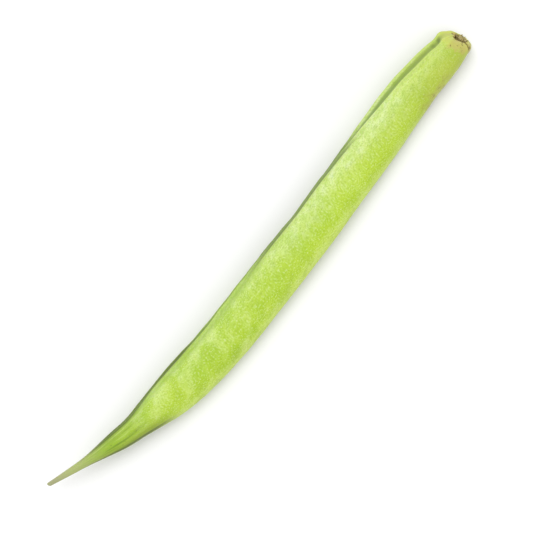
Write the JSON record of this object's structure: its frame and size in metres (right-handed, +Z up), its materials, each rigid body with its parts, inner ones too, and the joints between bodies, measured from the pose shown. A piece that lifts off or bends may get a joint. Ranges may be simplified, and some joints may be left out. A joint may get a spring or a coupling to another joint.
{
  "type": "cluster bean pod",
  "caption": "Long, gently curved green bean pod with a ribbed seam, a tapered beak and a dry torn flower cup on its blunt stem end, lying on its broad side.",
  "frame": {"origin": "middle of the bounding box in plan, on the surface that the pod lies on", "axes": "+X from the beak tip to the blunt stem end, +Y towards the seam side, +Z up from the surface"},
  "size_m": [0.122, 0.0154, 0.0078],
  "materials": {
    "pod_skin": "satin",
    "dry_calyx": "matte",
    "dry_stalk": "matte"
  },
  "bodies": {
    "root": {"pod": "pod_skin", "calyx_remnant": "dry_calyx", "pedicel_stump": "dry_stalk"}
  },
  "joints": []
}
